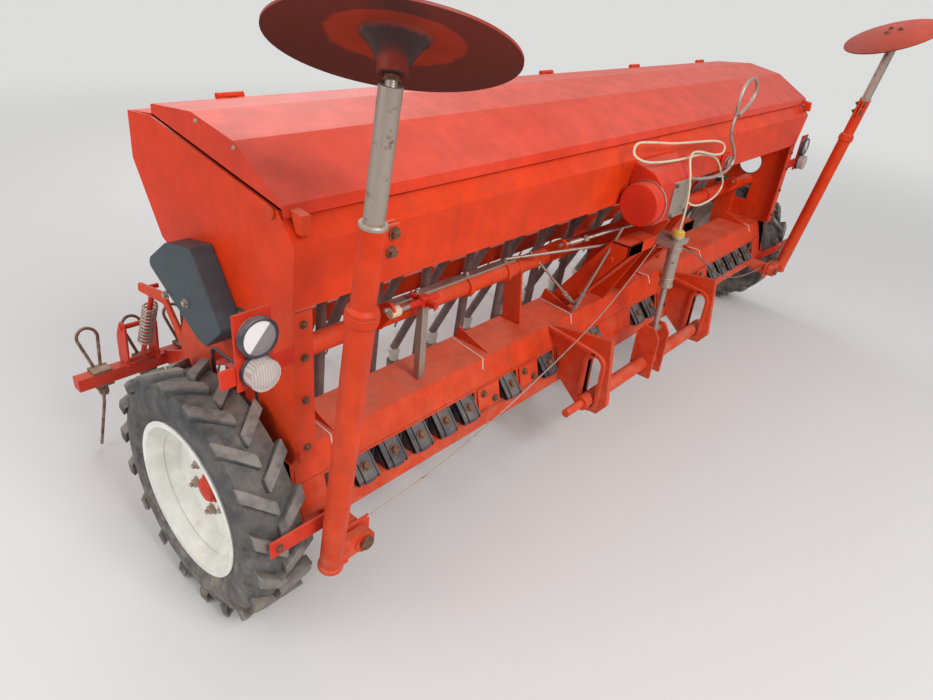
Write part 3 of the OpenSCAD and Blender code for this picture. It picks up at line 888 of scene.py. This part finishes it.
def make_tower_legs():
    """Sloping channels that carry the tower, the angle across them, and gussets along the beam."""
    shape = bmesh.new()
    for x in (-195, 195):
        for flange in (-45, 39):
            add_profile(shape, [(-62, BEAM_TOP), (-150, BEAM_TOP), (-350, 760), (-350, 800), (-280, 800)],
                        x + flange, x + flange + 6)
        web = [(-144, BEAM_TOP), (-150, BEAM_TOP), (-350, 760), (-350, 800), (-344, 800), (-344, 762)]
        add_profile(shape, web, x - 45, x + 45)
        for y, z in ((-136, 538), (-290, 734)):
            add_pin(shape, x - 52, x + 52, y, z, 0.01)
    for left, right in ((-240, -57), (57, 240)):
        add_profile(shape, [(-350, 760), (-350, 800), (-280, 800), (-280, 792), (-342, 792), (-342, 760)],
                    left, right)
    for x in (-262, 256, -735, 729, -1346, 1340):
        add_profile(shape, [(-45, BEAM_TOP), (-198, BEAM_TOP), (-160, 516), (-60, 548)], x, x + 6)
    finish_piece("tower_legs", shape, "frame_paint", bevel=0.0015)


def make_housing():
    """Box of the drive in front of the hopper, with its round cover, bolted plate and pulley."""
    red, steel, bolts = new_shapes(3)
    cover = facing_out(-1, -182, -342, 938)
    add_profile(red, [(-270, 868), (-384, 868), (-384, 1006), (-350, 1036), (-270, 1058)], -186, 40, 10)
    add_profile(red, [(-274, 934), (-330, 934), (-330, 1010), (-304, 1040), (-274, 1056)], -22, 97, 8)
    add_turned(red, [(0, 0), (70, 0), (70, 50), (66, 55), (0, 57)], cover, 72)
    add_profile(red, [(-268, 925), (-275, 925), (-275, 985), (-268, 985)], 556, 640)
    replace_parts(finish_piece("drive_housing", red, "red_paint", bevel=0.0025), "tower_housing")
    add_profile(steel, [(-376, 876), (-389, 876), (-389, 1000), (-376, 1000)], -96, 34, 4)
    pulley = [(0, 0), (24, 0), (24, 4), (17, 8), (24, 12), (24, 16), (0, 16)]
    add_turned(steel, pulley, facing(604, -275, 952))
    add_turned(steel, [(72, 2), (74, 2), (74, 8), (72, 8), (72, 2)], cover, 72)
    finish_piece("housing_plate", steel, "bare_steel", bevel=0.001)
    for x, z in ((-86, 886), (24, 886), (-86, 990), (24, 990)):
        add_bolt(bolts, place(x, -389, z), -Y_AXIS, 0.011)
    for x, z in ((84, 950), (84, 1002)):
        add_bolt(bolts, place(x, -330, z), -Y_AXIS, 0.013)
    finish_piece("housing_bolts", bolts, "rusty_bolts")


def make_crank():
    """Bent handle on its hub beside the housing."""
    route = millimetres(
        (150, -306, 962), (230, -322, 950), (330, -340, 946), (420, -350, 960), (460, -352, 994),
        (440, -350, 1038), (376, -350, 1092), (360, -350, 1130), (368, -350, 1170), (362, -350, 1214),
        (376, -350, 1260), (414, -350, 1288), (462, -350, 1288), (496, -350, 1262), (494, -350, 1226),
        (456, -350, 1194), (396, -350, 1166))
    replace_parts(make_wire("crank_loop", [smooth_route(route, 6)], 0.006, "bare_steel"), "crank_handle")
    hub = bmesh.new()
    add_pin(hub, 97, 133, -306, 962, 0.024, 40)
    add_pin(hub, 131, 172, -306, 962, 0.013, 32)
    finish_piece("crank_hub", hub, "bare_steel", bevel=0.0015)


def make_shaft_fittings():
    """Levers, clamps, bearing ears and the long strip on the cross shaft."""
    shape, steel = new_shapes(2)
    y, z, clamps = -80, 700, (-955, -742, -556)
    for x in (-330, 330, -1120, 1120):
        add_profile(shape, [(-112, 684), (-168, 760), (-152, 782), (-128, 776), (-48, 716), (-50, 690)],
                    x - 5, x + 5, 8)
        add_pin(steel, x - 22, x + 22, -146, 762, 0.007)
    for x in (-500, 500):
        ear = [(-56, BEAM_TOP), (-136, BEAM_TOP), (-116, 690), (-98, 734), (-62, 734), (-48, 690)]
        add_profile(shape, ear, x - 4, x + 4, 10)
    for x in clamps + (742, 955):
        add_pin(shape, x - 11, x + 11, y, z, 0.035, 40)
    finish_piece("shaft_levers", shape, "frame_paint", bevel=0.0015)
    add_block(steel, place(-798, y, z + 32.5), (0.573, 0.028, 0.008))
    for x in clamps:
        add_bolt(steel, place(x, y, z + 36.5), Z_AXIS, 0.014)
    finish_piece("control_strip", steel, "bare_steel", bevel=0.001)


def make_adjuster():
    """Square post with its red cross handle and cream knob."""
    post, red, knob = new_shapes(3)
    x, y, z = -1000, -150, 752
    add_block(post, place(x, y, 621), (0.024, 0.024, 0.234))
    add_pin(post, x - 125, x - 55, y, z, 0.008)
    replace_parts(finish_piece("control_post", post, "bare_steel", bevel=0.002), "control_posts")
    add_turned(red, [(0, 737), (17, 737), (17, 765), (13, 769), (0, 769)], Matrix.Translation(place(x, y, 0)))
    add_pin(red, x - 56, x + 56, y, z, 0.009)
    add_bar(red, place(x, y - 50, z), place(x, y + 50, z), 0.009)
    finish_piece("adjuster_cross", red, "red_paint", bevel=0.0015)
    add_pin(knob, x - 126, x - 92, y, z, 0.016, 32)
    finish_piece("adjuster_knob", knob, "cream_plastic", bevel=0.003)


def make_rods():
    """Thin control rods with their threaded ends, and the taut wire that runs out to the near marker."""
    shape = bmesh.new()
    for first, last, radius in (
            ((-560, -84, 745), (20, -340, 775), 0.005), ((-427, -84, 740), (-250, -200, 520), 0.0045),
            ((-222, -300, 850), (-280, -200, 512), 0.005), ((70, -350, 870), (330, -152, 764), 0.006),
            ((-70, -350, 870), (-330, -152, 764), 0.006)):
        start, end = millimetres(first, last)
        back = (start - end).normalized()
        add_bar(shape, start, end, radius, 16)
        add_bar(shape, end + back * 0.06, end + back * 0.02, radius * 1.7, 14)
        add_bar(shape, end + back * 0.085, end + back * 0.072, radius * 2.0, 6)
    finish_piece("control_rods", shape, "bare_steel")
    route = millimetres(
        (-54, -352, 766), (-400, -372, 600), (-800, -378, 470), (-1130, -372, 384), (-1368, -352, 336))
    make_wire("marker_wire", [smooth_route(route, 6)], 0.002, "bare_steel")


def make_cylinder_fittings():
    """Yellow knurled ring, collars and cap of the lift cylinder."""
    yellow, steel = new_shapes(2)
    centre = Matrix.Translation(place(0, HITCH_Y, 0))
    add_turned(yellow, [(0, 799), (17, 799), (20, 801), (20, 820), (17, 823), (5, 823), (0, 826)], centre)
    for k in range(24):
        out = round_from(X_AXIS, Y_AXIS, 15 * k) * 0.02
        add_bar(yellow, place(0, HITCH_Y, 802) + out, place(0, HITCH_Y, 819) + out, 0.0013, 6)
    finish_piece("hose_coupling", yellow, "yellow_plastic")
    for low, high, radius in ((610, 622, 25), (640, 646, 24), (748, 766, 26), (792, 802, 24)):
        add_turned(steel, [(11, low), (radius - 2, low), (radius, low + 2), (radius, high - 2),
                           (radius - 2, high), (11, high)], centre)
    finish_piece("cylinder_collars", steel, "bare_steel")


def make_gear_cover():
    """Moulded cover of the drive, rounded at its corners."""
    cover = bmesh.new()
    add_profile(cover, [(236, 884), (145, 950), (33, 972), (-70, 806), (6, 736), (44, 741), (242, 862)],
                -1500, -1556, 9)
    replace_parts(finish_piece("drive_cover", cover, "cover_plastic", bevel=0.0025), "gear_cover")


def make_lamp_trims():
    """Black rims round the lamp and the reflector, and the lamp's pressed ribs."""
    rims, ribs = new_shapes(2)
    for side in (-1, 1):
        lamp = facing(side * 1597, -270, 824)
        add_turned(rims, [(35, 0), (38, 1), (38, 9), (35, 10)], lamp)
        add_turned(rims, [(41, 2), (43.5, 4), (43.5, 17), (41, 19), (37, 19), (37, 15)],
                   facing(side * 1594, -270, 901))
        add_turned(ribs, [(0, 33.5), (30, 33.5), (24, 37), (12, 39.5), (0, 40)], lamp)
    finish_piece("lamp_rims", rims, "block_rubber")
    finish_piece("lamp_domes", ribs, "lens")


def make_end_fittings():
    """Bolts, latches and pins on the end plates, and the edging of their openings."""
    zinc, rusty, lid, paint = new_shapes(4)
    trims = []
    for y, z in ((172, 808), (77, 823)):
        add_bolt(zinc, place(-1556, y, z), -X_AXIS, 0.014)
    for side in (-1, 1):
        out, face = X_AXIS * side, side * 1500
        add_bolt(zinc, place(face, -4, 874), out, 0.017, nut=True)
        for y, z in ((-86, 1209), (52, 1233)):
            add_pin(lid, side * 1499, side * 1503, y, z, 0.006, 20, 0.0035)
        for z in (560, 690, 800, 880):
            add_bolt(rusty, place(side * 1474, -260, z), -Y_AXIS, 0.012)
        for y, z in ((-74, 462), (-160, 462), (-240, 326)):
            add_bolt(rusty, place(face, y, z), out, 0.017)
        add_bar(rusty, place(side * 1400, -391, PIVOT_Z), place(side * 1400, -397, PIVOT_Z), 0.019, 28)
        for x in (1480, 1620):
            add_bolt(rusty, place(side * x, -349, 405), -Y_AXIS, 0.013)
        # Latch and its pin disc at the lid's front corner
        add_profile(paint, [(-262, 1082), (-284, 1084), (-280, 1122), (-244, 1128)], side * 1462, side * 1486)
        add_turned(paint, [(0, 0), (13, 0), (13, 5), (0, 6)], facing_out(side, face, -205, 1112))
        # Angle along the foot of the end plate
        foot = [(-232, BEAM_TOP), (-204, BEAM_TOP), (-230, 428), (-262, 350), (-262, 300), (-256, 300),
                (-240, 360)]
        add_profile(paint, foot, side * 1494, side * 1506)
        x = side * 1501
        trims.append(arc(place(x, -70, 786), Y_AXIS, Z_AXIS, 0.0595, 0, 354, 59))
        trims.append([point for y, z, start in ((-87, 613, 180), (67, 613, 270), (67, 667, 0), (-87, 667, 90))
                      for point in arc(place(x, y, z), Y_AXIS, Z_AXIS, 0.018, start, start + 90, 8)])
    finish_piece("zinc_bolts", zinc, "bare_steel")
    finish_piece("frame_bolts", rusty, "rusty_bolts")
    finish_piece("lid_rivets", lid, "bare_steel", "hopper_lid")
    finish_piece("end_fittings", paint, "frame_paint", bevel=0.0015)
    make_wire("opening_trims", trims, 0.0045, "block_rubber", sides=3, closed=True)


def make_paint_lines():
    """Cream sealer across the main beam, beside its gussets."""
    paths = [millimetres((x, -50, 505.4), (x + drift, -196, 505.4), (x + drift, -200.8, 503.6),
                         (x + drift * 1.4, -212, 473))
             for x, drift in ((-748, -22), (-268, -16), (-1352, -8), (748, 22), (268, 16), (1352, 8))]
    make_wire("sealer_lines", paths, 0.0018, "white_plastic", sides=2)


def make_seed_line_fittings():
    """Slides and bolts on the metering boxes, and the shaft that drives them."""
    slides, housings, steel = new_shapes(3)
    for i in range(ROWS):
        x = row_x(i) * 1000
        add_profile(housings, [(14, 822), (14, 790), (24, 768), (40, 752), (74, 752), (84, 772), (90, 822)],
                    x - 31, x + 31)
        add_block(slides, place(x, 12, 800), (0.034, 0.006, 0.03))
        add_turned(steel, [(0, 0), (7, 0), (7, 14), (0, 16)], facing(x, 10, 804), 16)
    add_pin(steel, -1490, 1490, 51, 776, 0.009)
    finish_piece("seed_slides", slides, "cream_plastic", bevel=0.001)
    finish_piece("feed_housings", housings, "feed_grey", bevel=0.002)
    finish_piece("feed_shaft", steel, "bare_steel")


for side, hand in SIDES:
    make_wheel_fittings(side, hand)
    make_arm_fittings(side, f"marker_{hand}")
    make_disc(side, hand)
make_blocks()
make_skirt_pads()
make_tines()
make_harrow_struts()
make_hitch()
make_tower_legs()
make_housing()
make_crank()
make_shaft_fittings()
make_adjuster()
make_rods()
make_cylinder_fittings()
make_gear_cover()
make_lamp_trims()
make_end_fittings()
make_paint_lines()
make_seed_line_fittings()


# Studio


def make_floor():
    """A plain pale floor that keeps the machine's shadow and turns into the backdrop further out."""
    half_width, fade_start, fade_end = 300.0, 2.4, 8.0
    mesh = bpy.data.meshes.new("floor")
    shape = bmesh.new()
    bmesh.ops.create_grid(shape, x_segments=1, y_segments=1, size=half_width)
    shape.to_mesh(mesh)
    shape.free()
    floor = show("floor", mesh)
    material = bpy.data.materials.new("floor")
    material.use_nodes = True
    tree = material.node_tree
    shader = tree.nodes["Principled BSDF"]
    shader.inputs["Base Color"].default_value = (0.66, 0.65, 0.63, 1.0)
    shader.inputs["Roughness"].default_value = 0.9
    glow = new_node(tree, "Emission")
    glow.inputs["Color"].default_value = BACKDROP
    away = vector_node(tree, "LENGTH", machine_place(tree))
    seen = new_node(tree, "LightPath").outputs["Is Camera Ray"]
    far = times(tree, spread(tree, away, fade_start, fade_end), seen)
    mix_shaders(tree, far, shader, glow, "Material Output")
    mesh.materials.append(material)


def make_lights():
    """Soft lamps and an even light all round; camera and reflections see the pale backdrop."""
    world = bpy.data.worlds.new("studio")
    bpy.context.scene.world = world
    world.use_nodes = True
    tree = world.node_tree
    light = tree.nodes["Background"]
    light.inputs["Color"].default_value = (0.95, 0.96, 1.0, 1.0)
    light.inputs["Strength"].default_value = 0.55
    seen = new_node(tree, "Background")
    seen.inputs["Color"].default_value = BACKDROP
    path = new_node(tree, "LightPath")
    through = math_node(tree, "MAXIMUM", path.outputs["Is Camera Ray"], path.outputs["Is Glossy Ray"])
    through = math_node(tree, "MAXIMUM", through, path.outputs["Is Transmission Ray"])
    mix_shaders(tree, through, light, seen, "World Output")
    aim = Vector((0.0, 0.0, 0.6))
    for name, spot, size, power in (
            ("key_lamp", (-1.4, -4.6, 4.4), 2.2, 230.0), ("fill_lamp", (-4.4, 0.6, 2.6), 3.0, 60.0),
            ("back_lamp", (1.5, 4.2, 3.6), 3.0, 90.0)):
        data = bpy.data.lights.new(name, "AREA")
        data.size = size
        data.energy = power
        lamp = show(name, data)
        lamp.location = spot
        lamp.rotation_euler = (aim - Vector(spot)).to_track_quat("-Z", "Y").to_euler()


make_floor()
make_lights()
bpy.context.scene.view_settings.view_transform = "Standard"
